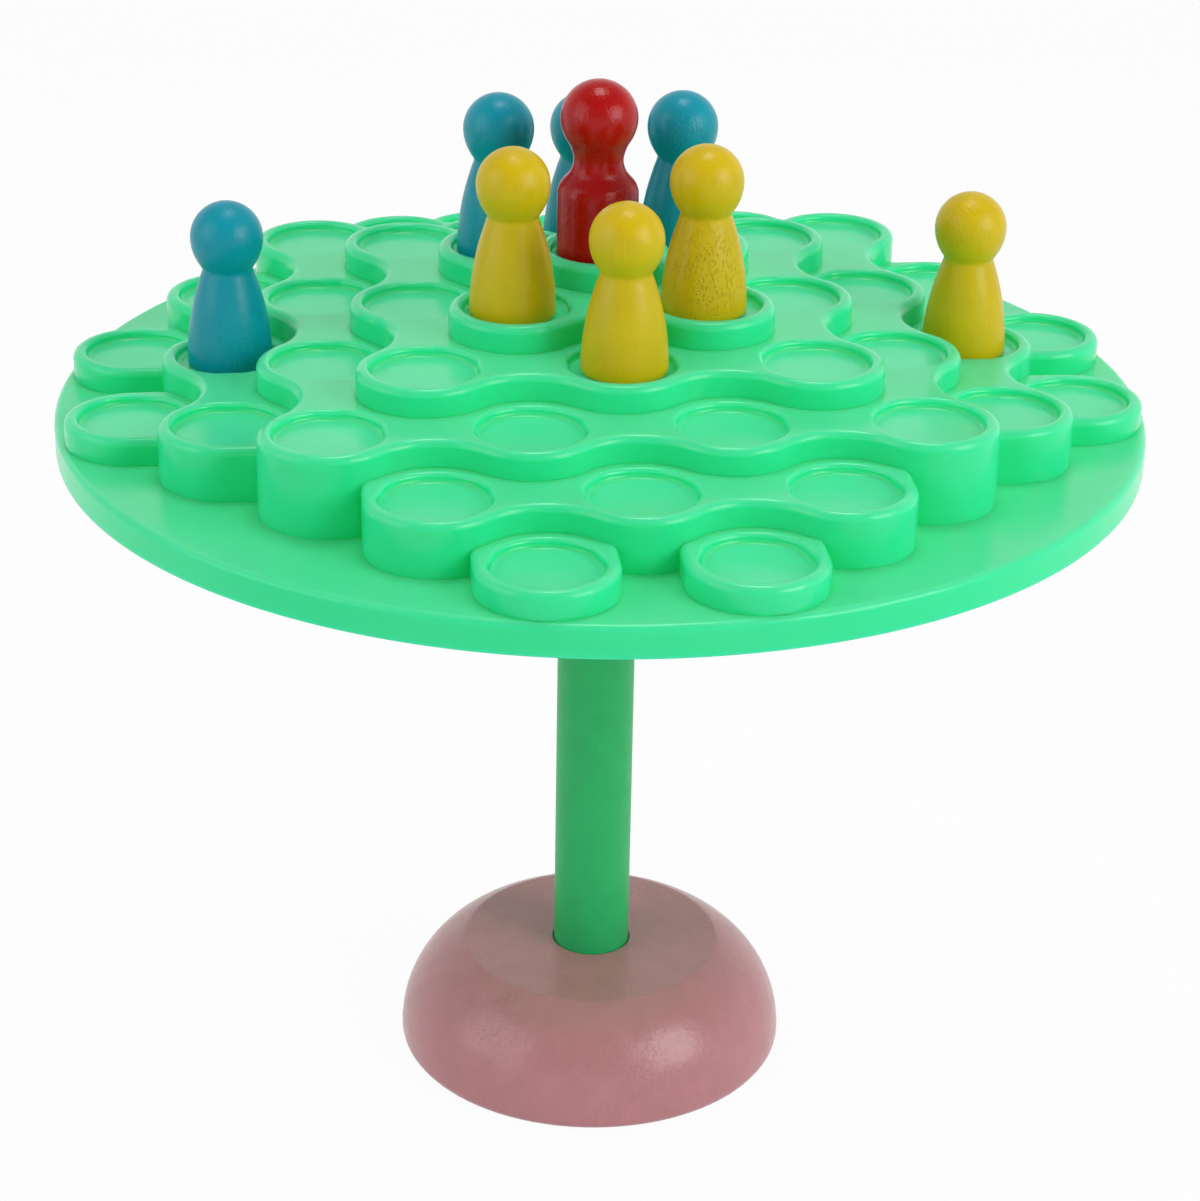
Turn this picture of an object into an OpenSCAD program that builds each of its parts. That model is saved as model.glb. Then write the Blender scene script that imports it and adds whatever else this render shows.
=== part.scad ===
// Balance game: a stepped round tray that tips on a ball at the top of a post, with pegs standing in its seats.
// Millimetres, +Z up, origin at the centre of the base's underside.

/* [Base] */
// Diameter of the base at its widest
base_d = 88.8; // [70:0.2:110]
// Height of the base
base_h = 25.2; // [20:0.2:32]
// Width of the curved side, from the widest place in to the flat top
base_side_w = 15; // [8:0.2:16]
// Radius of the rounded edge round the underside
base_edge = 2.4; // [0.5:0.1:4]
// Wood left under the hole that the post is plugged in
base_floor = 7.2; // [3:0.2:10]

/* [Post] */
// Diameter of the post
post_d = 17.4; // [14:0.1:20]
// Length of the post
post_l = 174.8; // [120:0.1:220]
// Radial clearance between the post and the hole in the base
post_fit = 0.1; // [0.02:0.01:0.1]
// Height and width of the chamfers at the post's ends
post_chamfer = 0.8; // [0.3:0.1:1.2]

/* [Pivot] */
// Diameter of the pivot ball
ball_d = 12; // [9:0.5:12.5]
// Gap between the ball and each of its two dishes
ball_gap = 0.3; // [0.2:0.05:0.4]
// Height of the ball's centre above the post, and of the hub above the ball's centre
ball_rise = 2; // [1.8:0.1:3]

/* [Tray] */
// Floor between the outermost seats and the rim's outside
tray_margin = 1.2; // [0.8:0.1:6]
// Height of the tray's rim
rim_h = 6.9; // [5.5:0.1:10]
// Radius of the rim's rounded upper edge
rim_edge = 1.2; // [0.5:0.1:2]
// Wall of the rim, of the steps and of the socket
tray_wall = 2; // [1.4:0.1:2.5]
// Thickness of the tray's floor and of the steps' tops
tray_top = 3; // [2.4:0.1:3.6]
// Height of one step
step_h = 5.7; // [5.2:0.1:7]
// Reach of the socket below the ball's centre
socket_l = 20; // [14:0.5:24]
// Largest tip of the tray about each of two crossed axes, in degrees
tip_angle = 10; // [5:0.5:12]
// Room left between the socket and the post when the tray is tipped about both axes
tip_room = 0.5; // [0.3:0.1:1]

/* [Seats] */
// Spacing of the rows of seats; seats stand on every other crossing
seat_pitch = 20; // [19.6:0.1:20.4]
// Gap between the rounded walls of neighbouring seats
wave_gap = 0.1; // [0.06:0.02:0.6]
// Play round the widest foot that stands in a recess
seat_play = 1.5; // [1:0.1:2]
// Depth of a seat's recess
recess_depth = 2; // [1:0.1:2.2]

/* [Pegs] */
// Diameter of a peg's foot
peg_d = 18; // [14:0.1:18.4]
// Height of a peg
peg_h = 35.6; // [26:0.1:45]
// Diameter of a peg's head
peg_head_d = 15.3; // [12:0.1:16.5]
// Diameter of a peg's neck
peg_neck_d = 10.2; // [8:0.1:11]
// Drop from the middle of a peg's head to its neck
peg_neck_drop = 6.7; // [5:0.1:8]
// Radius of the rounded edge of a peg's foot
peg_edge = 0.6; // [0.3:0.1:1]

/* [King] */
// Diameter of the king's body
king_d = 17.3; // [15:0.1:17.8]
// Height of the king
king_h = 38.4; // [32:0.1:48]
// Diameter of the king's head
king_head_d = 16.4; // [14:0.1:17.2]
// Diameter of the king's neck
king_neck_d = 10.6; // [8:0.1:12]
// Drop from the middle of the king's head to its neck
king_neck_drop = 7; // [5:0.1:9]
// Length of the king's neck
king_neck_l = 3.6; // [2:0.1:6]
// Height of the king's sloping shoulder
king_shoulder_h = 4.8; // [3:0.1:6]

/* [Hidden] */
$fn = 96;

yellow = [0.80, 0.70, 0.18];
blue = [0.10, 0.55, 0.67];
red = [0.68, 0.10, 0.12];
tray_green = [0.14, 0.84, 0.50];
post_green = [0.20, 0.66, 0.40];
pink = [0.72, 0.49, 0.51];
beech = [0.80, 0.66, 0.48];

// Each peg's seat, as the numbers of its two rows counted from the middle
king_index = [0, 0];
yellow_index = [[-1, -1], [1, -1], [0, -2], [4, 0]];
blue_index = [[-1, 1], [1, 1], [0, 2], [-4, 0]];
// How far each peg stands off its seat's centre, as a share of its play
king_share = [-0.76, -0.2];
yellow_share = [[-0.55, 0.15], [-0.6, 0.25], [0.4, 0.5], [-0.6, -0.3]];
blue_share = [[-0.7, 0], [-0.75, 0], [-0.35, 0], [0.25, 0.25]];

// Rings of seats are square; a ring's number is its distance from the middle in rows
last_ring = 5;
// Seats lie no further from the middle than the outermost pair on each side
seat_reach_sq = last_ring * last_ring + 1;
function ring_of(place) = max(abs(place.x), abs(place.y));
function is_seat(i, j) = (i + j) % 2 == 0 && i * i + j * j <= seat_reach_sq;
seats = [
    for (i = [-last_ring:last_ring], j = [-last_ring:last_ring])
        if (is_seat(i, j)) [i, j]
];
// Height of a ring's step above the tray's floor
function ring_z(ring) = (last_ring + 1 - ring) * step_h;

// Overlap that keeps joined shapes from merely touching
eps = 0.01;
// Overshoot of a cut past the face it opens
cut = 1;
// Facets of the widest rounds
wide_fn = 192;

base_r = base_d / 2;
post_r = post_d / 2;
post_z = base_floor;
post_top_z = post_z + post_l;

ball_r = ball_d / 2;
dish_r = ball_r + ball_gap;
ball_z = post_top_z + ball_rise;

// Heights in the tray's own frame, whose zero is the top of its floor
hub_z = ring_z(1) - tray_top;
pivot_z = hub_z - ball_rise;
tray_z = ball_z - pivot_z;
seat_wall_r = (seat_pitch * sqrt(2) - wave_gap) / 2;
tray_r = seat_pitch * sqrt(seat_reach_sq) + seat_wall_r + tray_margin;
// The tray's tip when it is tipped about both axes at once
full_tip = acos(pow(cos(tip_angle), 2));
socket_r = (post_r + tip_room + socket_l * sin(full_tip)) / cos(full_tip);

peg_r = peg_d / 2;
king_r = king_d / 2;
recess_r = max(peg_r, king_r) + seat_play;

function seat_xy(place) = [place.x * seat_pitch, place.y * seat_pitch];
function floor_z(place) = tray_z + ring_z(ring_of(place)) - recess_depth;

// Radius of the arc that leaves a vertical tangent and moves in by a run over a rise
function arc_r(run, rise) = (run * run + rise * rise) / (2 * run);

// Profile from radius foot_r at height z0 to top_r at z1, as an arc that is vertical at z0
module arc_profile(foot_r, top_r, z0, z1) {
    bend = arc_r(foot_r - top_r, abs(z1 - z0));
    intersection() {
        translate([0, min(z0, z1)])
            square([foot_r, abs(z1 - z0)]);
        translate([foot_r - bend, z0])
            circle(r = bend, $fn = wide_fn);
    }
}

// Half disc of a head, above its middle
module dome_profile(r, z) {
    intersection() {
        translate([0, z])
            circle(r = r);
        translate([0, z - eps])
            square([r, r + eps]);
    }
}

// Foot with a rounded edge, up to where the edge meets the side
module foot_profile(r, edge) {
    square([r - edge, edge + eps]);
    translate([r - edge, edge])
        circle(r = edge);
}

module base() {
    color(pink)
        difference() {
            rotate_extrude()
                union() {
                    foot_profile(base_r, base_edge);
                    arc_profile(base_r, base_r - base_side_w, base_edge, base_h);
                }
            translate([0, 0, post_z])
                cylinder(r = post_r + post_fit, h = base_h - post_z + cut);
        }
}

module post() {
    c = post_chamfer;
    color(post_green)
        difference() {
            translate([0, 0, post_z])
                rotate_extrude()
                    polygon([[0, 0], [post_r - c, 0], [post_r, c], [post_r, post_l - c],
                             [post_r - c, post_l], [0, post_l]]);
            translate([0, 0, ball_z])
                sphere(r = dish_r);
        }
}

module pivot_ball() {
    color(beech)
        translate([0, 0, ball_z])
            sphere(r = ball_r);
}

// Discs round the seats of one ring
module ring_discs(ring, r) {
    for (place = seats)
        if (ring_of(place) == ring)
            translate(seat_xy(place))
                circle(r = r);
}

// Outline of one step of rings 0 to 3, drawn in by an inset: a square that bulges round its own seats
// and gives way round the seats of the next ring out
module square_step(ring, inset) {
    mid = (ring + 0.5) * seat_pitch;
    row = ring * seat_pitch;
    difference() {
        union() {
            ring_discs(ring, seat_wall_r - inset);
            if (ring > 0) {
                square([2 * mid, 2 * row], center = true);
                square([2 * row, 2 * mid], center = true);
            }
        }
        ring_discs(ring + 1, seat_wall_r + inset);
    }
}

// Straight sides that run back from a seat, towards the middle, into the next step's wall
module seat_sides(ring, across, inset) {
    half = seat_wall_r - inset;
    translate([across * seat_pitch - half, -ring * seat_pitch])
        square([2 * half, seat_pitch]);
}

// Outline of the steps of ring 4, a bar on each side of the tray
module bar_step(inset) {
    bar_ring = last_ring - 1;
    mid = (bar_ring + 0.5) * seat_pitch;
    end_place = 2;
    difference() {
        union() {
            ring_discs(bar_ring, seat_wall_r - inset);
            for (turn = [0:90:270])
                rotate(turn) {
                    translate([-end_place * seat_pitch, -mid])
                        square([2 * end_place * seat_pitch, 2 * seat_pitch]);
                    for (across = [-end_place, end_place])
                        seat_sides(bar_ring, across, inset);
                }
        }
        ring_discs(last_ring, seat_wall_r + inset);
    }
}

// Outline of the lowest steps, a pair of single seats on each side
module cup_step(inset) {
    ring_discs(last_ring, seat_wall_r - inset);
    for (turn = [0:90:270])
        rotate(turn)
            for (across = [-1, 1])
                seat_sides(last_ring, across, inset);
}

module step_outline(ring, inset) {
    if (ring == last_ring)
        cup_step(inset);
    else if (ring == last_ring - 1)
        bar_step(inset);
    else
        square_step(ring, inset);
}

// Floor and rim of the tray
module tray_floor() {
    rotate_extrude($fn = wide_fn)
        union() {
            translate([0, -rim_h])
                square([tray_r, rim_h - rim_edge]);
            translate([0, -rim_edge - eps])
                square([tray_r - rim_edge, rim_edge + eps]);
            translate([tray_r - rim_edge, -rim_edge])
                circle(r = rim_edge);
        }
}

// Everything that is hollow under the tray: below the floor, and up into each step but the middle one
module tray_hollow() {
    below = rim_h + cut;
    translate([0, 0, -below])
        cylinder(r = tray_r - tray_wall, h = below - tray_top, $fn = wide_fn);
    for (ring = [1:last_ring])
        translate([0, 0, -below])
            linear_extrude(below + ring_z(ring) - tray_top)
                step_outline(ring, tray_wall);
}

// Tube under the hub that the post's top stands in
module socket() {
    tube_z = pivot_z - socket_l;
    translate([0, 0, tube_z])
        difference() {
            cylinder(r = socket_r + tray_wall, h = hub_z - tube_z + eps);
            translate([0, 0, -cut])
                cylinder(r = socket_r, h = hub_z - tube_z + cut);
        }
}

module tray() {
    color(tray_green)
        translate([0, 0, tray_z])
            difference() {
                union() {
                    difference() {
                        union() {
                            tray_floor();
                            for (ring = [0:last_ring])
                                translate([0, 0, -eps])
                                    linear_extrude(ring_z(ring) + eps)
                                        step_outline(ring, 0);
                        }
                        tray_hollow();
                    }
                    socket();
                }
                for (place = seats)
                    translate([each seat_xy(place), ring_z(ring_of(place)) - recess_depth])
                        cylinder(r = recess_r, h = recess_depth + cut);
                translate([0, 0, pivot_z])
                    sphere(r = dish_r);
            }
}

// Stands a piece with a round foot on the floor of its seat
module in_seat(place, share, foot_r) {
    shift = share * (recess_r - foot_r);
    translate([each seat_xy(place) + shift, floor_z(place)])
        children();
}

module peg(place, share) {
    neck_r = peg_neck_d / 2;
    head_r = peg_head_d / 2;
    head_z = peg_h - head_r;
    neck_z = head_z - peg_neck_drop;
    in_seat(place, share, peg_r)
        rotate_extrude()
            union() {
                foot_profile(peg_r, peg_edge);
                arc_profile(peg_r, neck_r, peg_edge, neck_z);
                arc_profile(head_r, neck_r, head_z, neck_z - eps);
                dome_profile(head_r, head_z);
            }
}

module king() {
    neck_r = king_neck_d / 2;
    head_r = king_head_d / 2;
    head_z = king_h - head_r;
    neck_top = head_z - king_neck_drop;
    neck_z = neck_top - king_neck_l;
    color(red)
        in_seat(king_index, king_share, king_r)
            rotate_extrude()
                union() {
                    polygon([[0, 0], [king_r, 0], [king_r, neck_z - king_shoulder_h], [neck_r, neck_z],
                             [neck_r, neck_top + eps], [0, neck_top + eps]]);
                    arc_profile(head_r, neck_r, head_z, neck_top);
                    dome_profile(head_r, head_z);
                }
}

module yellow_peg(number) {
    color(yellow)
        peg(yellow_index[number - 1], yellow_share[number - 1]);
}

module blue_peg(number) {
    color(blue)
        peg(blue_index[number - 1], blue_share[number - 1]);
}

base();
post();
pivot_ball();
tray();
king();
yellow_peg(1);  // yellow_peg_1
yellow_peg(2);  // yellow_peg_2
yellow_peg(3);  // yellow_peg_3
yellow_peg(4);  // yellow_peg_4
blue_peg(1);  // blue_peg_1
blue_peg(2);  // blue_peg_2
blue_peg(3);  // blue_peg_3
blue_peg(4);  // blue_peg_4
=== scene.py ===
"""Looks of the balance game: a stepped tray on a turned post and base, with painted pegs standing in it.

Every piece is a surface worked out with numpy from named sizes and from the boxes of the CAD nodes.
Lengths are in metres.
"""

import math

import bpy
import numpy as np
from mathutils import Matrix, Vector


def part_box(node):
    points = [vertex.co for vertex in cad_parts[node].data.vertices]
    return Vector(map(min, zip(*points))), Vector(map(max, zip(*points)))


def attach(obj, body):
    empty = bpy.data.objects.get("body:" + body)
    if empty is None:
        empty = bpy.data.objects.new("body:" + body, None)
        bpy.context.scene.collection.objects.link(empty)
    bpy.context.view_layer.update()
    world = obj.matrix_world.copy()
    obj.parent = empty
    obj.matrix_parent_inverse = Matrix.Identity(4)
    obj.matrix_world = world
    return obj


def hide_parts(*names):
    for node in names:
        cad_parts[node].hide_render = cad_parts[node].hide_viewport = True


MM = 0.001

# Tray: its rows of seats and its steps
PITCH = 20 * MM
LAST_RING = 5
BAR_RING = LAST_RING - 1
STEP_H = 5.7 * MM
TOP = 3 * MM
WALL = 2 * MM
STEP_EDGE = 1.7 * MM
RIM_EDGE = 1.3 * MM
SEAT_R = PITCH / math.sqrt(2)
RECESS_R = 10.2 * MM
RECESS_DEPTH = 2 * MM
LIP_W = 2 * MM
SOCKET_R = 14.5 * MM
SOCKET_L = 20 * MM
BALL_GAP = 0.3 * MM
BALL_RISE = 2 * MM

# Base and post
BASE_SIDE_W = 15 * MM
BASE_FOOT_EDGE = 2.4 * MM
BASE_TOP_EDGE = 2.5 * MM
HOLE_GAP = 0.1 * MM
HOLE_EDGE = 0.5 * MM
HOLE_DEPTH = 18 * MM
POST_EDGE = 0.8 * MM

# Pegs and king
PEG_HEAD_R = 7.65 * MM
PEG_NECK_R = 5.1 * MM
PEG_NECK_DROP = 6.7 * MM
PEG_FOOT_EDGE = 0.6 * MM
PEG_NECK_ROUND = 0.5 * MM
KING_HEAD_R = 8.2 * MM
KING_FOOT_EDGE = 0.5 * MM
FOOT_CLEAR = 0.03 * MM
# Radius and height at the places where the king's outline turns, from the shoulder to the head's middle
KING_TURNS = [
    (8.62 * MM, 13.9 * MM),
    (8.05 * MM, 16 * MM),
    (5.95 * MM, 18.7 * MM),
    (5.3 * MM, 20.9 * MM),
    (5.95 * MM, 24 * MM),
    (7.4 * MM, 26.7 * MM),
]

# Degrees of a facet on a step's outline, and facets in a full turn of a turned piece
FACET = 4.5
TURN = 96
# Facets across a rounded edge, a small one and a half ball, and rows up a peg's and the king's outline
EDGE_STEPS = 6
SMALL_EDGE_STEPS = 4
HEAD_STEPS = 24
PEG_ROWS = 80
KING_ROWS = 120
# Points that agree to so many decimals of a metre are one
WELD_DECIMALS = 7

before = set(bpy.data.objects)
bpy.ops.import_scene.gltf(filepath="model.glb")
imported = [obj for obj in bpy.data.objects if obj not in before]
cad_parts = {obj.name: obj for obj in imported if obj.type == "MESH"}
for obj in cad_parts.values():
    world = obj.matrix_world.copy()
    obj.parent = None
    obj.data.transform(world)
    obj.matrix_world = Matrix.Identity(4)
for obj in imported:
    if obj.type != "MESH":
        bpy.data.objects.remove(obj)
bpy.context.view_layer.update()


# Mesh making


def line(start, end):
    """Straight stretch of a profile, as rows of (out, up, normal out, normal up). The material lies on
    its left."""
    (d0, z0), (d1, z1) = start, end
    length = math.hypot(d1 - d0, z1 - z0)
    normal = ((z1 - z0) / length, (d0 - d1) / length)
    return np.array([(d0, z0, *normal), (d1, z1, *normal)])


def arc(centre, radius, start, end, steps=EDGE_STEPS):
    """Round stretch of a profile between two angles in degrees. The normal points away from the centre
    where the angle grows, and towards it where the angle falls, which makes a hollow."""
    a = np.radians(np.linspace(start, end, steps + 1))
    side = 1 if end > start else -1
    c, s = np.cos(a), np.sin(a)
    return np.stack([centre[0] + radius * c, centre[1] + radius * s, side * c, side * s], 1)


def curve(out, up):
    """Profile through arrays of points, with normals square to its slope."""
    d, z = np.gradient(out), np.gradient(up)
    length = np.hypot(d, z)
    return np.stack([out, up, z / length, -d / length], 1)


def sweep(path, profile):
    """Profile carried along a flat path: a point is the path's point plus out times the path's normal,
    raised by up."""
    points, normals = path
    d, z, nd, nz = (profile[:, i, None, None] for i in range(4))
    ones = np.ones((len(profile), len(points), 1))
    where = np.concatenate([points[None] + d * normals[None], z * ones], 2)
    facing = np.concatenate([nd * normals[None], nz * ones], 2)
    return where, facing


def turned(centre, angles=None):
    """Path of a turned piece: a circle of no size about a centre, whose normals point all round it."""
    a = np.linspace(0, 2 * np.pi, TURN + 1) if angles is None else angles
    normals = np.stack([np.cos(a), np.sin(a)], 1)
    return np.broadcast_to(centre, normals.shape), normals


def ruled(low, high, normal):
    """Strip of straight lines between two rows of points, all facing one way or with one normal for each
    line."""
    where = np.stack([low, high])
    return where, np.broadcast_to(normal, where.shape)


def level(points, height):
    """Flat points raised to a height, which may be one number or one for each point."""
    return np.concatenate([points, np.broadcast_to(height, (len(points),))[:, None]], 1)


def strip_faces(rows, columns):
    """Two triangles for each cell of a grid."""
    i = np.arange(rows * columns).reshape(rows, columns)
    a, b, c, d = i[:-1, :-1].ravel(), i[:-1, 1:].ravel(), i[1:, 1:].ravel(), i[1:, :-1].ravel()
    return np.concatenate([np.stack([a, b, c], 1), np.stack([a, c, d], 1)])


def make_piece(name, patches):
    """One mesh from grids of points and normals: equal points are welded, empty triangles are dropped,
    each triangle is wound to agree with its normals, the normals are kept, and facing_up says how far each
    corner faces up, which the plastic uses to paint light on its tops and shade on its walls."""
    points, normals, faces, count = [], [], [], 0
    for where, facing in patches:
        points.append(where.reshape(-1, 3))
        normals.append(facing.reshape(-1, 3))
        faces.append(strip_faces(*where.shape[:2]) + count)
        count += points[-1].shape[0]
    points, normals, faces = map(np.concatenate, (points, normals, faces))
    across = np.cross(points[faces[:, 1]] - points[faces[:, 0]], points[faces[:, 2]] - points[faces[:, 0]])
    turn = (across * normals[faces].sum(1)).sum(1) < 0
    faces[turn] = faces[turn][:, ::-1]
    places = np.round(points, WELD_DECIMALS)
    _, first, weld = np.unique(places, axis=0, return_index=True, return_inverse=True)
    corners = weld.reshape(-1)[faces]
    full = (corners != np.roll(corners, 1, axis=1)).all(axis=1)
    corners, faces = corners[full], faces[full]
    mesh = bpy.data.meshes.new(name)
    mesh.from_pydata(points[first], [], corners)
    mesh.normals_split_custom_set(normals[faces].reshape(-1, 3))
    facing_up = mesh.attributes.new("facing_up", "FLOAT", "CORNER")
    facing_up.data.foreach_set("value", normals[faces][..., 2].reshape(-1))
    piece = bpy.data.objects.new(name, mesh)
    bpy.context.scene.collection.objects.link(piece)
    return piece


# Tray

TRAY_LOW, TRAY_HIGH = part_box("tray")
TRAY_R = (TRAY_HIGH.x - TRAY_LOW.x) / 2
FLOOR_Z = TRAY_HIGH.z - (LAST_RING + 1) * STEP_H
BALL_LOW, BALL_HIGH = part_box("pivot_ball")
BALL_R = (BALL_HIGH.z - BALL_LOW.z) / 2
PIVOT_Z = (BALL_HIGH.z + BALL_LOW.z) / 2
HUB_Z = PIVOT_Z + BALL_RISE


def ring_of(i, j):
    return max(abs(i), abs(j))


def is_seat(i, j):
    return (i + j) % 2 == 0 and i * i + j * j <= LAST_RING**2 + 1


def ring_z(ring):
    """Height of a ring's tops."""
    return FLOOR_Z + (LAST_RING + 1 - ring) * STEP_H


ROWS = range(-LAST_RING, LAST_RING + 1)
SEATS = [(i, j) for i in ROWS for j in ROWS if is_seat(i, j)]


def facet_angles(start, end):
    """Angles in degrees from start to end, both kept, with every whole facet between them."""
    low, high = sorted((start, end))
    whole = np.arange(math.floor(low / FACET) + 1, math.ceil(high / FACET)) * FACET
    angles = np.concatenate([[low], whole, [high]])
    return angles if end > start else angles[::-1]


def spokes(angles):
    """Unit vectors at angles in degrees."""
    return np.stack([np.cos(np.radians(angles)), np.sin(np.radians(angles))], 1)


def quarter_turned(patch, quarters):
    """A patch turned about the tray's middle by quarter turns."""
    c, s = ((1, 0), (0, 1), (-1, 0), (0, -1))[quarters % 4]
    turn = np.array([(c, s, 0), (-s, c, 0), (0, 0, 1)])
    return patch[0] @ turn, patch[1] @ turn


def side_angle(side, radius):
    """Angle in degrees, about the seat behind, at which a straight side meets the round of that seat."""
    return np.degrees(np.arcsin((PITCH - side) / radius))


def side_arcs(ring):
    """The rounds of a step's outline on its +X side, as (seat, start, end, over). A round bulges about the
    step's own seats, where its angle grows, and gives way about the next ring's. Over tells what its foot
    stands on: the next ring's step, the floor, or that step at the round's start, its end or both."""
    if ring == 0:
        return [((0, 0), 0, 360, "step")]
    if ring == LAST_RING:
        return [((ring, j), -90, 90, "floor") for j in (-1, 1)]
    arcs = []
    rows = [-2, 0, 2] if ring == BAR_RING else range(-ring, ring, 2)
    for j in rows:
        first, last = j == rows[0], j == rows[-1]
        start, end, over = -45, 45, "step"
        if ring == BAR_RING:
            start, end = -90 if first else -45, 90 if last else 45
            over = "end" if first else "start" if last else "both"
        elif first:
            start, over = -135, "both" if ring == BAR_RING - 1 else "step"
        arcs.append(((ring, j), start, end, over))
        if not (ring == BAR_RING and last):
            arcs.append(((ring + 1, j + 1), 225, 135, "step"))
    return arcs


def feet(arc_, ring, start_angles, start_heights, drop):
    """An arc cut where its foot changes level, as (angles, foot heights). Drop lowers the feet, for a
    wall's inner face. The start angles count down from the diagonal to the straight side of the step that
    the foot stands on."""
    _, start, end, over = arc_
    if over == "step":
        angles = facet_angles(start, end)
        return [(angles, np.full(len(angles), ring_z(ring + 1) - drop))]
    cut, found = start_angles[-1], []
    if over in ("start", "both"):
        found.append((start + 45 - start_angles, start_heights))
        start += 45 - cut
    if over in ("end", "both"):
        found.append(((end - 45 + start_angles)[::-1], start_heights[::-1]))
        end -= 45 - cut
    angles = facet_angles(start, end)
    return [*found, (angles, np.full(len(angles), FLOOR_Z - drop))]


def outer_wall(ring, arc_):
    """A step's wall along an arc, with its rounded upper edge. Where its foot crosses the rounded edge of
    the step below, it follows that edge down."""
    (seat, start, end, _), top, below = arc_, ring_z(ring), ring_z(ring + 1)
    edge = arc((-STEP_EDGE, top - STEP_EDGE), STEP_EDGE, 0, 90)
    fall = np.radians(np.linspace(90, 0, len(edge)))
    ramp = side_angle(SEAT_R - STEP_EDGE + STEP_EDGE * np.cos(fall), SEAT_R)
    flat = facet_angles(45, ramp[0])
    angles = np.concatenate([flat, ramp[1:]])
    heights = np.concatenate([np.full(len(flat), below), below - STEP_EDGE + STEP_EDGE * np.sin(fall[1:])])
    for angles, foot in feet(arc_, ring, angles, heights, 0):
        spoke = spokes(angles)
        points = np.array(seat) * PITCH + SEAT_R * spoke
        normals = spoke if end > start else -spoke
        yield sweep((points, normals), edge)
        yield ruled(level(points, foot), level(points, top - STEP_EDGE), level(normals, 0))


def inner_wall(ring, arc_):
    """The inner face of a step's wall along an arc, below the step's top."""
    seat, start, end, _ = arc_
    bulge = 1 if end > start else -1
    radius = SEAT_R - bulge * WALL
    inner = SEAT_R - WALL
    angles = facet_angles(45, side_angle(inner, inner))
    heights = np.full(len(angles), ring_z(ring + 1) - TOP)
    for angles, foot in feet(arc_, ring, angles, heights, TOP):
        spoke = spokes(angles)
        points = np.array(seat) * PITCH + radius * spoke
        yield ruled(level(points, foot), level(points, ring_z(ring) - TOP), level(-bulge * spoke, 0))


def straight_side(seat, way):
    """A bar's or a cup's straight side, from its end seat back to the wall behind, and the side's inner
    face."""
    ring, top, y = seat[0], ring_z(seat[0]), seat[1] * PITCH
    edge = arc((-STEP_EDGE, top - STEP_EDGE), STEP_EDGE, 0, 90)
    side = SEAT_R + edge[:, 0]
    back = (ring - 1) * PITCH + SEAT_R * np.cos(np.radians(side_angle(side, SEAT_R)))
    near = np.stack([0 * side + ring * PITCH, y + way * side, edge[:, 1]], 1)
    far = np.stack([back, y + way * side, edge[:, 1]], 1)
    facing = np.stack([0 * side, way * edge[:, 2], edge[:, 3]], 1)
    yield np.stack([near, far]), np.stack([facing, facing])
    inner = SEAT_R - WALL
    inner_back = (ring - 1) * PITCH + inner * math.cos(math.radians(side_angle(inner, inner)))
    for x, out, high, low, facing in (
        (back[0], SEAT_R, top - STEP_EDGE, FLOOR_Z, way),
        (inner_back, inner, top - TOP, FLOOR_Z - TOP, -way),
    ):
        ends = np.array([(ring * PITCH, y + way * out), (x, y + way * out)])
        yield ruled(level(ends, low), level(ends, high), (0, facing, 0))


def step_sides():
    """Walls and sides of all the steps: those of the +X side, turned to the other sides."""
    for ring in range(LAST_RING + 1):
        for arc_ in side_arcs(ring):
            patches = [*outer_wall(ring, arc_), *(inner_wall(ring, arc_) if ring else [])]
            for quarters in range(4 if ring else 1):
                yield from (quarter_turned(patch, quarters) for patch in patches)
    bar_ends = [((BAR_RING, 2), 1), ((BAR_RING, -2), -1)]
    cups = [((LAST_RING, j), way) for j in (-1, 1) for way in (-1, 1)]
    for seat, way in bar_ends + cups:
        for patch in straight_side(seat, way):
            yield from (quarter_turned(patch, quarters) for quarters in range(4))


def flat_edge(i, j, edge, foot):
    """Edge of a seat's flat, as points about the seat's centre. Quarter by quarter it is the seat's own
    round, in by the edge above a lower step or by the foot below a higher one; between two seats of a ring,
    the rounds about the lower and the higher seat beside them, up to half way; or a straight side that runs
    back to the higher seat."""
    ring = ring_of(i, j)
    outward = 90 * ((abs(j) > abs(i)) + 2 * (max(i, j, key=abs) < 0))
    points = []

    def own(start, end, inset):
        points.append((SEAT_R - inset) * spokes(facet_angles(start, end)))

    def beside(axis, way, start, end):
        di, dj = np.round(spokes([axis])[0] + way * spokes([axis + 90])[0]).astype(int)
        radius = SEAT_R + (foot if ring_of(i + di, j + dj) < ring else edge)
        points.append(np.array((di, dj)) * PITCH + radius * spokes(axis + facet_angles(start, end)))

    for axis in (0, 90, 180, 270):
        di, dj = np.round(spokes([axis])[0]).astype(int)
        gap = ring_of(i + di, j + dj)
        if gap != ring:
            own(axis - 45, axis + 45, edge if gap > ring else foot)
        elif ring < LAST_RING and is_seat(i + 2 * di, j + 2 * dj):
            beside(axis, -1, 135, 90)
            beside(axis, 1, 270, 225)
        else:
            corner = side_angle(SEAT_R - edge, SEAT_R + foot)
            if (axis - outward) % 360 == 90:
                own(axis - 45, axis, edge)
                beside(axis, 1, 270 - corner, 225)
            else:
                beside(axis, -1, 135, 90 + corner)
                own(axis, axis + 45, edge)
    points = np.concatenate(points)
    return np.concatenate([points, points[:1]])


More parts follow.
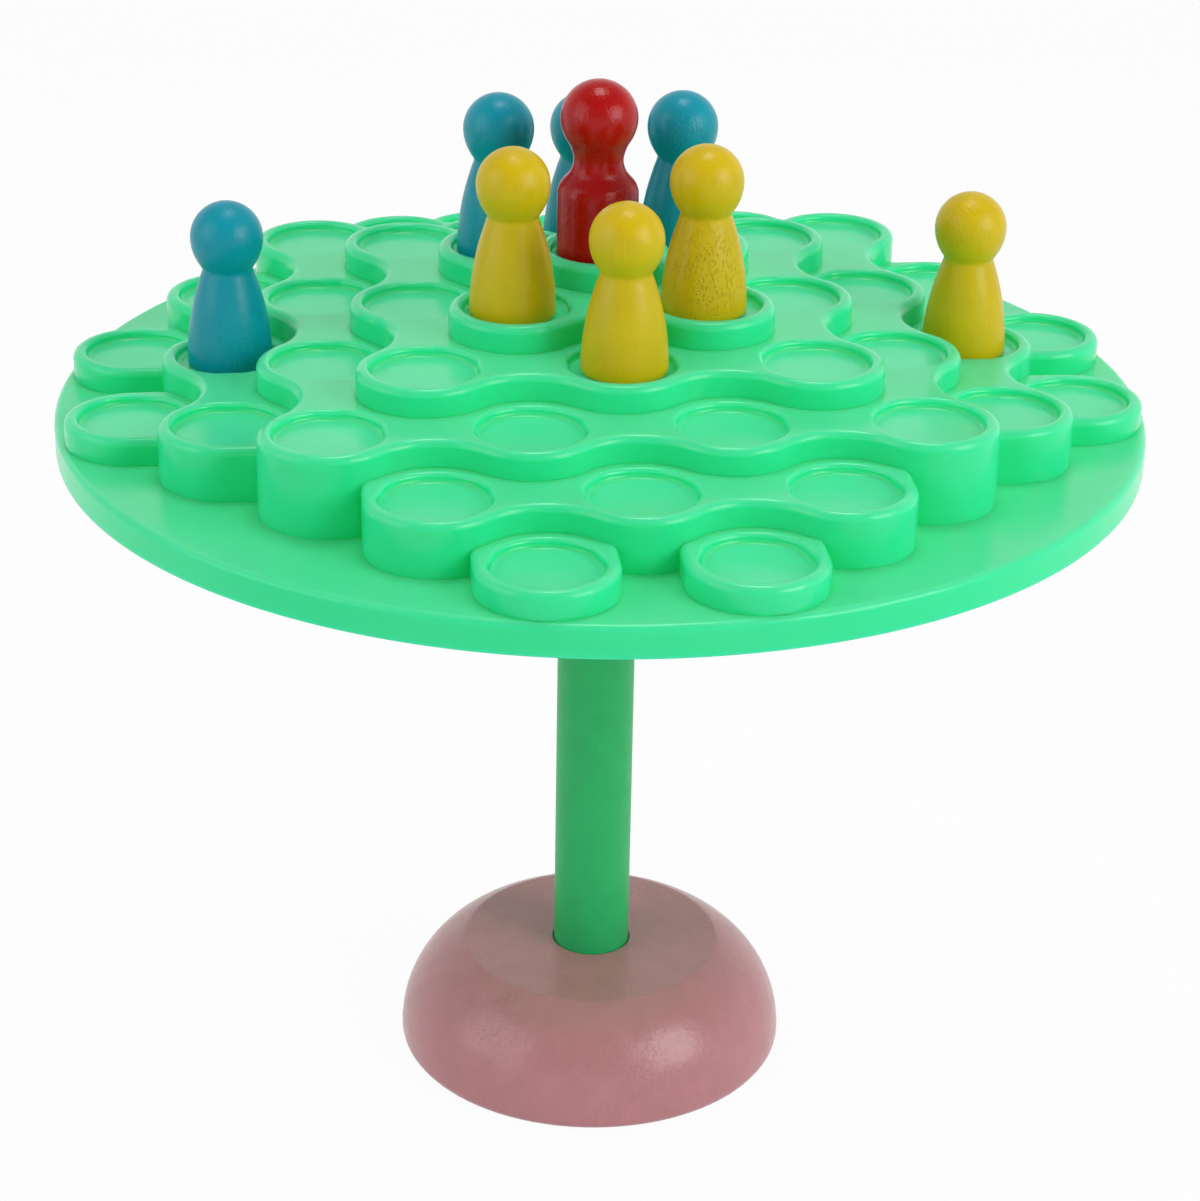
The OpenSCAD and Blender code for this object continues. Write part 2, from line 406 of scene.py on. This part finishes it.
def seat_top(i, j):
    """A seat's round recess and the flat round it. The recess falls in two equal arcs, a lip that starts
    level and a foot that ends level."""
    centre, height = np.array((i, j)) * PITCH, ring_z(ring_of(i, j))
    edge = flat_edge(i, j, STEP_EDGE, 0)
    path = turned(centre, np.arctan2(edge[:, 1], edge[:, 0]))
    bend = (LIP_W**2 + RECESS_DEPTH**2) / (4 * RECESS_DEPTH)
    steep = math.degrees(2 * math.atan2(RECESS_DEPTH, LIP_W))
    lip_r, foot_r, floor_z = RECESS_R + LIP_W, RECESS_R, height - RECESS_DEPTH
    yield sweep(path, arc((lip_r, height - bend), bend, 90, 90 + steep))
    yield sweep(path, arc((foot_r, floor_z + bend), bend, steep - 90, -90))
    yield sweep(path, line((foot_r, floor_z), (0, floor_z)))
    yield ruled(level(path[0] + lip_r * path[1], height), level(centre + edge, height), (0, 0, 1))


def seat_under(i, j):
    """The flat under a seat's top. Under the middle ring it runs to the socket."""
    ring = ring_of(i, j)
    foot = SOCKET_R + WALL - SEAT_R if ring == 1 else -WALL
    centre, height = np.array((i, j)) * PITCH, ring_z(ring) - TOP
    edge = flat_edge(i, j, WALL, foot)
    yield ruled(level(centre + 0 * edge, height), level(centre + edge, height), (0, 0, -1))


def quarter_rows(points):
    """Flat points of the +X side, followed by their quarter turns."""
    return [points @ np.array([(c, s), (-s, c)]) for c, s in ((1, 0), (0, 1), (-1, 0), (0, -1))]


def steps_outline(inset):
    """Outline on the floor of the steps that stand on it, with a straight line across the pocket between
    two cups, and the four pockets' own inner and outer edges."""
    radius = SEAT_R - inset
    cut = side_angle(radius, radius)

    def around(seat, start, end):
        return np.array(seat) * PITCH + radius * spokes(facet_angles(start, end))

    corner, low_end, high_end = (BAR_RING - 1, 1 - BAR_RING), (BAR_RING, -2), (BAR_RING, 2)
    low_cup = around((LAST_RING, -1), -90, 90 - FACET)
    high_cup = around((LAST_RING, 1), FACET - 90, 90)
    pocket = around((BAR_RING, 0), -cut, cut)
    across = np.linspace(low_cup[-1], high_cup[0], len(pocket))
    side = [around(corner, -90 - cut, cut), around(low_end, -90, cut), low_cup[:-1], across]
    side = np.concatenate([*side, high_cup[1:], around(high_end, -cut, 90)])
    outline = np.concatenate(quarter_rows(side) + [side[:1]])
    return outline, zip(quarter_rows(pocket), quarter_rows(across))


def floor_patches(height, inset, rim_r, up):
    """The floor's upper or lower face: out from the steps to the rim, and the pockets. Also the rim's
    path."""
    outline, pockets = steps_outline(inset)
    path = turned(np.zeros(2), np.unwrap(np.arctan2(outline[:, 1], outline[:, 0])))
    patches = [ruled(level(outline, height), level(rim_r * path[1], height), (0, 0, up))]
    patches += [ruled(level(low, height), level(high, height), (0, 0, up)) for low, high in pockets]
    return patches, path


def tray_floor():
    """The floor round the steps, its underside, and the rim."""
    rim_in, low = TRAY_R - WALL, TRAY_LOW.z
    edge_r, soft = TRAY_R - RIM_EDGE, RIM_EDGE / 3
    patches, path = floor_patches(FLOOR_Z, 0, edge_r, 1)
    yield from patches
    yield sweep(path, line((rim_in, low), (TRAY_R - soft, low)))
    yield sweep(path, arc((TRAY_R - soft, low + soft), soft, -90, 0, 3))
    yield sweep(path, line((TRAY_R, low + soft), (TRAY_R, FLOOR_Z - RIM_EDGE)))
    yield sweep(path, arc((edge_r, FLOOR_Z - RIM_EDGE), RIM_EDGE, 0, 90))
    patches, path = floor_patches(FLOOR_Z - TOP, WALL, rim_in, -1)
    yield from patches
    yield sweep(path, line((rim_in, FLOOR_Z - TOP), (rim_in, low)))


def tray_socket():
    """The hub's dish over the ball and the tube round the post's top."""
    path = turned(np.zeros(2), np.radians(facet_angles(0, 360)))
    dish_r, low = BALL_R + BALL_GAP, PIVOT_Z - SOCKET_L
    dish_edge = math.sqrt(dish_r**2 - BALL_RISE**2)
    outer = SOCKET_R + WALL
    yield sweep(path, arc((0, PIVOT_Z), dish_r, 90, math.degrees(math.asin(BALL_RISE / dish_r)), 16))
    yield sweep(path, line((dish_edge, HUB_Z), (SOCKET_R, HUB_Z)))
    yield sweep(path, line((SOCKET_R, HUB_Z), (SOCKET_R, low)))
    yield sweep(path, line((SOCKET_R, low), (outer, low)))
    yield sweep(path, line((outer, low), (outer, ring_z(1) - TOP)))


def make_tray():
    patches = [*tray_floor(), *tray_socket(), *step_sides()]
    for i, j in SEATS:
        patches += seat_top(i, j)
        if ring_of(i, j):
            patches += seat_under(i, j)
    return make_piece("tray_moulding", patches)


# Turned pieces


def place_of(node):
    """Centre, foot height, widest radius and height of an upright turned node, from its box."""
    low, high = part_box(node)
    centre = np.array([(low.x + high.x) / 2, (low.y + high.y) / 2])
    return centre, low.z, (high.y - low.y) / 2, high.z - low.z


POST_R = place_of("post")[2]


def bend_of(run, rise):
    """Radius of the arc that starts upright and comes in by a run over a rise."""
    return (run**2 + rise**2) / (2 * run)


def upright_arc(z, widest, z_widest, bend):
    """Radius at each height of an arc that is upright where it is widest."""
    return widest - bend + np.sqrt(np.maximum(bend**2 - (z - z_widest) ** 2, 0))


def make_turned(name, node, profile_of):
    """Turned piece on a node's axis, from the stretches of its profile above the node's foot."""
    centre, foot, radius, height = place_of(node)
    path = turned(centre)
    lift = np.array([0, foot, 0, 0])
    return make_piece(name, [sweep(path, stretch + lift) for stretch in profile_of(radius, height)])


def foot_stretches(radius, edge, clear=0.0):
    """Flat foot with a rounded edge. It may stand a hair clear of what carries it."""
    bend = edge - clear
    yield line((0, clear), (radius - bend, clear))
    yield arc((radius - bend, edge), bend, -90, 0, SMALL_EDGE_STEPS)


def peg_profile(radius, height):
    """Body and head are arcs that are upright at the foot and at the head's middle. The wider of the two
    counts, with the crease at the neck rounded, and a half ball closes the head."""
    head_z = height - PEG_HEAD_R
    neck_z = head_z - PEG_NECK_DROP
    z = np.linspace(PEG_FOOT_EDGE, head_z, PEG_ROWS)
    body = upright_arc(z, radius, PEG_FOOT_EDGE, bend_of(radius - PEG_NECK_R, neck_z - PEG_FOOT_EDGE))
    head = upright_arc(z, PEG_HEAD_R, head_z, bend_of(PEG_HEAD_R - PEG_NECK_R, PEG_NECK_DROP))
    both = (body + head + np.hypot(body - head, PEG_NECK_ROUND)) / 2
    yield from foot_stretches(both[0], PEG_FOOT_EDGE, FOOT_CLEAR)
    yield curve(both, z)
    yield arc((0, head_z), both[-1], 0, 90, HEAD_STEPS)


def king_profile(radius, height):
    """Straight body, then a curve through the turns of the shoulder, the neck and the head, and a half ball
    on top. Between two turns the curve is a cubic that keeps the slopes at both."""
    head_z = height - KING_HEAD_R
    turns = np.array([(radius, KING_FOOT_EDGE), *KING_TURNS, (KING_HEAD_R, head_z)])
    slope = np.gradient(turns[:, 0], turns[:, 1])
    slope[[0, 1, -1]] = 0
    z = np.linspace(KING_FOOT_EDGE, head_z, KING_ROWS)
    k = np.clip(np.searchsorted(turns[:, 1], z) - 1, 0, len(turns) - 2)
    span = turns[k + 1, 1] - turns[k, 1]
    t = (z - turns[k, 1]) / span
    ease = t * t * (3 - 2 * t)
    r = turns[k, 0] * (1 - ease) + turns[k + 1, 0] * ease
    r += span * (slope[k] * t * (1 - t) ** 2 - slope[k + 1] * t * t * (1 - t))
    yield from foot_stretches(radius, KING_FOOT_EDGE, FOOT_CLEAR)
    yield curve(r, z)
    yield arc((0, head_z), KING_HEAD_R, 0, 90, HEAD_STEPS)


def base_profile(radius, height):
    """Rounded foot, a side that is an arc upright above the foot, a soft corner that runs on from it, and a
    flat top with the post's hole."""
    hole = POST_R + HOLE_GAP
    bend = bend_of(BASE_SIDE_W, height - BASE_FOOT_EDGE)
    middle = radius - bend
    corner_z = height - BASE_TOP_EDGE
    corner_r = middle + math.sqrt((bend - BASE_TOP_EDGE) ** 2 - (corner_z - BASE_FOOT_EDGE) ** 2)
    meet = math.degrees(math.atan2(corner_z - BASE_FOOT_EDGE, corner_r - middle))
    yield from foot_stretches(radius, BASE_FOOT_EDGE)
    yield arc((middle, BASE_FOOT_EDGE), bend, 0, meet, 32)
    yield arc((corner_r, corner_z), BASE_TOP_EDGE, meet, 90)
    yield line((corner_r, height), (hole + HOLE_EDGE, height))
    yield arc((hole + HOLE_EDGE, height - HOLE_EDGE), HOLE_EDGE, 90, 180, SMALL_EDGE_STEPS)
    yield line((hole, height - HOLE_EDGE), (hole, height - HOLE_DEPTH))
    yield line((hole, height - HOLE_DEPTH), (0, height - HOLE_DEPTH))


def post_profile(radius, height):
    """Straight dowel with softened ends and a dish in its top for the ball."""
    dish_r = BALL_R + BALL_GAP
    dish_edge = math.sqrt(dish_r**2 - BALL_RISE**2)
    low = -math.degrees(math.asin(BALL_RISE / dish_r))
    yield from foot_stretches(radius, POST_EDGE)
    yield line((radius, POST_EDGE), (radius, height - POST_EDGE))
    yield arc((radius - POST_EDGE, height - POST_EDGE), POST_EDGE, 0, 90, SMALL_EDGE_STEPS)
    yield line((radius - POST_EDGE, height), (dish_edge, height))
    yield arc((0, height + BALL_RISE), dish_r, low, -90, 12)


def ball_profile(radius, height):
    """A ball, as a half circle from its lowest point to its highest."""
    yield arc((0, height / 2), radius, -90, 90, 32)


# Materials


def new_material(name):
    material = bpy.data.materials.new(name)
    material.use_nodes = True
    return material, material.node_tree, material.node_tree.nodes["Principled BSDF"]


def add(tree, kind, inputs=None, **settings):
    """A node with its settings and the values of its inputs. An output given as a value is linked."""
    made = tree.nodes.new(kind)
    for key, value in settings.items():
        setattr(made, key, value)
    for key, value in (inputs or {}).items():
        if isinstance(value, bpy.types.NodeSocket):
            tree.links.new(value, made.inputs[key])
        else:
            made.inputs[key].default_value = value
    return made


def noise(tree, scale, detail=3.0, stretch=(1, 1, 1), roughness=0.5):
    """Noise in Object coordinates. Scale counts waves in a metre, and stretch squeezes it along an axis."""
    where = add(tree, "ShaderNodeTexCoord").outputs["Object"]
    mapping = add(tree, "ShaderNodeMapping", {"Vector": where, "Scale": stretch})
    values = {"Vector": mapping.outputs[0], "Scale": scale, "Detail": detail, "Roughness": roughness}
    return add(tree, "ShaderNodeTexNoise", values).outputs["Fac"]


def ranged(tree, value, low, high, to_low=0.0, to_high=1.0):
    """A value mapped from one range to another and held within it."""
    values = {"Value": value, "From Min": low, "From Max": high, "To Min": to_low, "To Max": to_high}
    return add(tree, "ShaderNodeMapRange", values).outputs["Result"]


def maths(tree, operation, a, b):
    return add(tree, "ShaderNodeMath", {0: a, 1: b}, operation=operation).outputs[0]


def mixed(tree, factor, a, b):
    """Colour between two colours."""
    made = add(tree, "ShaderNodeMix", data_type="RGBA")
    for key, value in ((0, factor), (6, a), (7, b)):
        if isinstance(value, bpy.types.NodeSocket):
            tree.links.new(value, made.inputs[key])
        else:
            made.inputs[key].default_value = value
    return made.outputs[2]


def bumped(tree, height, distance, normal=None):
    """Normal from a height between 0 and 1 that stands for a distance."""
    values = {"Height": height, "Strength": 1.0, "Distance": distance}
    if normal is not None:
        values["Normal"] = normal
    return add(tree, "ShaderNodeBump", values).outputs[0]


def srgb(r, g, b):
    """Linear colour of an 8-bit display colour."""
    c = np.array([r, g, b]) / 255
    return (*np.where(c <= 0.04045, c / 12.92, ((c + 0.055) / 1.055) ** 2.4), 1.0)


def shade(colour, share):
    return (*(np.array(colour[:3]) * share), 1.0)


# Paint: waves in a metre of its patterns, how far they stretch along the axis, and depths
MOTTLE_WAVES = 160
GRAIN_WAVES = 1500
PORE_WAVES = 1900
PATCH_WAVES = 60
GLOSS_WAVES = 420
SKIN_WAVES = 700
ALONG_GRAIN = (1, 1, 0.035)
ALONG_SKIN = (1, 1, 0.5)
GRAIN_DEPTH = 0.05 * MM
PORE_DEPTH = 0.17 * MM
SKIN_DEPTH = 0.06 * MM
GLOSS_SPREAD = 0.08


def painted_wood(name, colour, gloss, shine, grain=1.0, skin=SKIN_DEPTH, waves=SKIN_WAVES, worn=None):
    """Paint on turned wood: a little mottled, with the grain's fine lines along the axis, faint pits where
    the paint sank into pores, deeper ones round a worn place of some radius and depth, painted shade that
    darkens the pits, a skin uneven by some height with so many waves in a metre, and a gloss that varies."""
    material, tree, shader = new_material(name)
    mottle = noise(tree, MOTTLE_WAVES, 4)
    lines = noise(tree, GRAIN_WAVES, 2, ALONG_GRAIN)
    pores = ranged(tree, noise(tree, PORE_WAVES, 1, ALONG_SKIN), 0.56, 0.68)
    patch = ranged(tree, noise(tree, PATCH_WAVES, 2), 0.5, 0.7, 0.0, 0.4)
    if worn is not None:
        where = add(tree, "ShaderNodeTexCoord").outputs["Object"]
        place, radius, depth = worn
        away = add(tree, "ShaderNodeVectorMath", {0: where, 1: place}, operation="DISTANCE").outputs["Value"]
        round_it = ranged(tree, away, radius, radius / 3, 0.0, depth)
        patch = maths(tree, "MAXIMUM", patch, round_it)
    pits_and_shade = maths(tree, "MULTIPLY", pores, patch)
    paint = mixed(tree, ranged(tree, mottle, 0.3, 0.7), shade(colour, 0.95), shade(colour, 1.04))
    paint = mixed(tree, ranged(tree, lines, 0.55, 0.8, 0.0, 0.3 * grain), paint, shade(colour, 0.8))
    # Painted shade: the pits are darkened as if shadowed inside, on top of their real bump
    paint = mixed(tree, maths(tree, "MULTIPLY", pits_and_shade, 0.15), paint, shade(colour, 0.7))
    rough = ranged(tree, noise(tree, GLOSS_WAVES, 3), 0.3, 0.7, gloss, gloss + GLOSS_SPREAD)
    uneven = bumped(tree, noise(tree, waves, 2, ALONG_SKIN), skin)
    grained = bumped(tree, lines, GRAIN_DEPTH * grain, uneven)
    sunk = bumped(tree, maths(tree, "SUBTRACT", 1.0, pits_and_shade), PORE_DEPTH, grained)
    tree.links.new(paint, shader.inputs["Base Color"])
    tree.links.new(rough, shader.inputs["Roughness"])
    tree.links.new(sunk, shader.inputs["Normal"])
    shader.inputs["Specular IOR Level"].default_value = shine
    return material


def bare_wood(name):
    """Sanded beech with darker flecks along the grain."""
    material, tree, shader = new_material(name)
    fleck = ranged(tree, noise(tree, 900, 3, (1, 1, 0.12)), 0.45, 0.7)
    wood = mixed(tree, fleck, srgb(222, 188, 142), srgb(178, 138, 96))
    tree.links.new(wood, shader.inputs["Base Color"])
    tree.links.new(bumped(tree, fleck, 0.05 * MM), shader.inputs["Normal"])
    tree.links.new(ranged(tree, fleck, 0, 1, 0.55, 0.7), shader.inputs["Roughness"])
    return material


# Painted light and shade: deeper green for the walls, paler green as if lit from above for the tops
TRAY_SHADED_WALLS = srgb(44, 231, 161)
TRAY_LIT_TOPS = srgb(82, 226, 161)
TRAY_FLOW = srgb(150, 255, 210)
TRAY_SPECKS = srgb(20, 130, 80)


def moulded_plastic(name):
    """Smooth moulded plastic that lets some light through. Painted light and shade: paler where it faces up,
    as if lit from above, and deeper on its walls, as if lit through more plastic. It has faint flow marks,
    tiny specks and a fine skin."""
    material, tree, shader = new_material(name)
    flow = noise(tree, 28, 3, (1, 1, 0.4))
    speck = ranged(tree, noise(tree, 900, 1), 0.84, 0.88)
    facing_up = add(tree, "ShaderNodeAttribute", attribute_name="facing_up").outputs["Fac"]
    # Painted light and shade: the colour goes from the shaded walls to the lit tops by how far each corner
    # faces up
    green = mixed(tree, ranged(tree, facing_up, 0.2, 0.95), TRAY_SHADED_WALLS, TRAY_LIT_TOPS)
    green = mixed(tree, ranged(tree, flow, 0.35, 0.65, 0.0, 0.06), green, TRAY_FLOW)
    green = mixed(tree, maths(tree, "MULTIPLY", speck, 0.35), green, TRAY_SPECKS)
    tree.links.new(green, shader.inputs["Base Color"])
    tree.links.new(ranged(tree, noise(tree, 140, 3), 0.3, 0.7, 0.18, 0.26), shader.inputs["Roughness"])
    tree.links.new(bumped(tree, noise(tree, 500, 2), 0.02 * MM), shader.inputs["Normal"])
    shader.inputs["Specular IOR Level"].default_value = 0.36
    shader.inputs["Subsurface Weight"].default_value = 1.0
    shader.inputs["Subsurface Radius"].default_value = (0.4, 0.8, 0.9)
    shader.inputs["Subsurface Scale"].default_value = 4 * MM
    return material


# Pieces, each standing for its node and moving with its body

PINK = srgb(199, 129, 136)
POST_GREEN = srgb(40, 182, 105)
RED = srgb(180, 6, 7)
YELLOW = srgb(218, 187, 6)
BLUE = srgb(1, 152, 173)


def finish_piece(piece, node, material):
    piece.data.materials.append(material)
    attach(piece, node)
    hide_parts(node)


def front_of(node, height_share):
    """Place on a node's front, at a share of its height."""
    centre, foot, radius, height = place_of(node)
    return (centre[0], centre[1] - radius, foot + height * height_share)


def make_pieces():
    finish_piece(make_tray(), "tray", moulded_plastic("green_plastic"))
    pits = ((-21 * MM, -24 * MM, 24 * MM), 5.5 * MM, 0.8)
    pink = painted_wood("pink_paint", PINK, gloss=0.19, shine=0.5, skin=0.1 * MM, worn=pits)
    finish_piece(make_turned("base_wood", "base", base_profile), "base", pink)
    green = painted_wood("green_paint", POST_GREEN, gloss=0.42, shine=0.35, grain=0.6)
    finish_piece(make_turned("post_dowel", "post", post_profile), "post", green)
    beech = bare_wood("bare_beech")
    finish_piece(make_turned("ball_wood", "pivot_ball", ball_profile), "pivot_ball", beech)
    red = painted_wood("red_paint", RED, gloss=0.18, shine=0.3, skin=0.09 * MM, waves=1700)
    finish_piece(make_turned("king_wood", "king", king_profile), "king", red)
    yellow_worn = (front_of("yellow_peg_2", 0.3), 14 * MM, 1.0)
    blue_worn = (front_of("blue_peg_2", 0.7), 12 * MM, 0.4)
    for name, colour, worn in (("yellow", YELLOW, yellow_worn), ("blue", BLUE, blue_worn)):
        paint = painted_wood(f"{name}_paint", colour, gloss=0.29, shine=0.3, worn=worn)
        for number in range(1, 5):
            node = f"{name}_peg_{number}"
            finish_piece(make_turned(f"{node}_wood", node, peg_profile), node, paint)


# Stage: floor, light and camera


def seen_directly(tree):
    """1 for what the camera sees itself, in a reflection or through glass."""
    path = add(tree, "ShaderNodeLightPath").outputs
    seen = maths(tree, "MAXIMUM", path["Is Camera Ray"], path["Is Glossy Ray"])
    return maths(tree, "MAXIMUM", seen, path["Is Transmission Ray"])


FLOOR_WHITE = 0.9
FLOOR_SHINE = 0.95


def make_floor():
    """White floor that rises to a wall all round, as a profile turned about the middle. It keeps a faint
    shadow: part of it shines where it is seen, and the rest takes the light."""
    flat_r, bend, wall = 3.0, 1.0, 1.2
    stretches = [
        line((flat_r + bend, wall), (flat_r + bend, bend)),
        arc((flat_r, bend), bend, 0, -90, 12),
        line((flat_r, 0), (0, 0)),
    ]
    floor = make_piece("floor", [sweep(turned(np.zeros(2)), stretch) for stretch in stretches])
    material, tree, shader = new_material("white_floor")
    shader.inputs["Base Color"].default_value = (FLOOR_WHITE, FLOOR_WHITE, FLOOR_WHITE, 1)
    shader.inputs["Roughness"].default_value = 0.9
    shine = add(tree, "ShaderNodeEmission", {"Strength": 1.0})
    share = maths(tree, "MULTIPLY", seen_directly(tree), FLOOR_SHINE)
    both = add(tree, "ShaderNodeMixShader", {0: share, 1: shader.outputs[0], 2: shine.outputs[0]})
    tree.links.new(both.outputs[0], tree.nodes["Material Output"].inputs["Surface"])
    floor.data.materials.append(material)


# Strength of the light from the front and from behind, and the share of it that is left overhead
ROOM, BACKDROP, ZENITH_SHARE = 0.6, 1.2, 0.35


def make_world():
    """Soft surroundings that fill the shadows: a pale backdrop behind the object, a darker room in front of
    it, and both darker towards the zenith."""
    world = bpy.data.worlds.new("studio")
    bpy.context.scene.world = world
    world.use_nodes = True
    tree = world.node_tree
    way = add(tree, "ShaderNodeTexCoord").outputs["Generated"]
    axes = add(tree, "ShaderNodeSeparateXYZ", {0: way}).outputs
    side = ranged(tree, axes["Y"], -0.8, 0.8, ROOM, BACKDROP)
    height = ranged(tree, axes["Z"], 0.0, 0.8, 1.0, ZENITH_SHARE)
    tree.links.new(maths(tree, "MULTIPLY", side, height), tree.nodes["Background"].inputs["Strength"])
    tree.nodes["Background"].inputs["Color"].default_value = (1, 1, 1, 1)


AIM = Vector((0, 0, 0.17))
# Name, direction from the object, distance, width, power
LAMPS = [
    ("top_softbox", (0.05, 0.15, 0.98), 1.1, 0.36, 3.0),
    ("right_softbox", (0.7, -0.6, 0.42), 1.1, 0.65, 5.5),
    ("left_softbox", (-0.87, -0.3, 0.4), 1.1, 0.8, 2.9),
]


def make_lamps():
    for name, way, distance, width, power in LAMPS:
        data = bpy.data.lights.new(name, "AREA")
        data.shape, data.size, data.energy = "SQUARE", width, power
        lamp = bpy.data.objects.new(name, data)
        way = Vector(way).normalized()
        lamp.location = AIM + way * distance
        lamp.rotation_mode = "QUATERNION"
        lamp.rotation_quaternion = way.to_track_quat("Z", "Y")
        bpy.context.scene.collection.objects.link(lamp)


# Camera, from a fit of the photo's view to the tray's rows of seats
CAMERA_AZIMUTH = math.radians(-6.039)
CAMERA_ELEVATION = math.radians(24.793)
CAMERA_ROLL = math.radians(1.064)
CAMERA_DISTANCE = 719.6 * MM
CAMERA_AIM_BELOW_FLOOR = 48.9 * MM
CAMERA_AIM_RIGHT = 0.65 * MM
CAMERA_LENS = 96.46


def make_camera():
    """Camera at the photo's angle, with its axes worked out from azimuth, elevation and roll."""
    ca, sa = math.cos(CAMERA_AZIMUTH), math.sin(CAMERA_AZIMUTH)
    ce, se = math.cos(CAMERA_ELEVATION), math.sin(CAMERA_ELEVATION)
    back, right = Vector((sa * ce, -ca * ce, se)), Vector((ca, sa, 0))
    up = back.cross(right)
    x_axis = right * math.cos(CAMERA_ROLL) + up * math.sin(CAMERA_ROLL)
    y_axis = up * math.cos(CAMERA_ROLL) - right * math.sin(CAMERA_ROLL)
    aim = right * CAMERA_AIM_RIGHT + Vector((0, 0, FLOOR_Z - CAMERA_AIM_BELOW_FLOOR))
    data = bpy.data.cameras.new("photo_view")
    data.lens, data.sensor_width = CAMERA_LENS, 36.0
    data.clip_start, data.clip_end = 0.05, 20.0
    camera = bpy.data.objects.new("photo_view", data)
    axes = Matrix((x_axis, y_axis, back)).transposed().to_4x4()
    camera.matrix_world = Matrix.Translation(aim + back * CAMERA_DISTANCE) @ axes
    bpy.context.scene.collection.objects.link(camera)
    bpy.context.scene.camera = camera


make_pieces()
make_floor()
make_world()
make_lamps()
make_camera()
bpy.context.scene.view_settings.view_transform = "Standard"
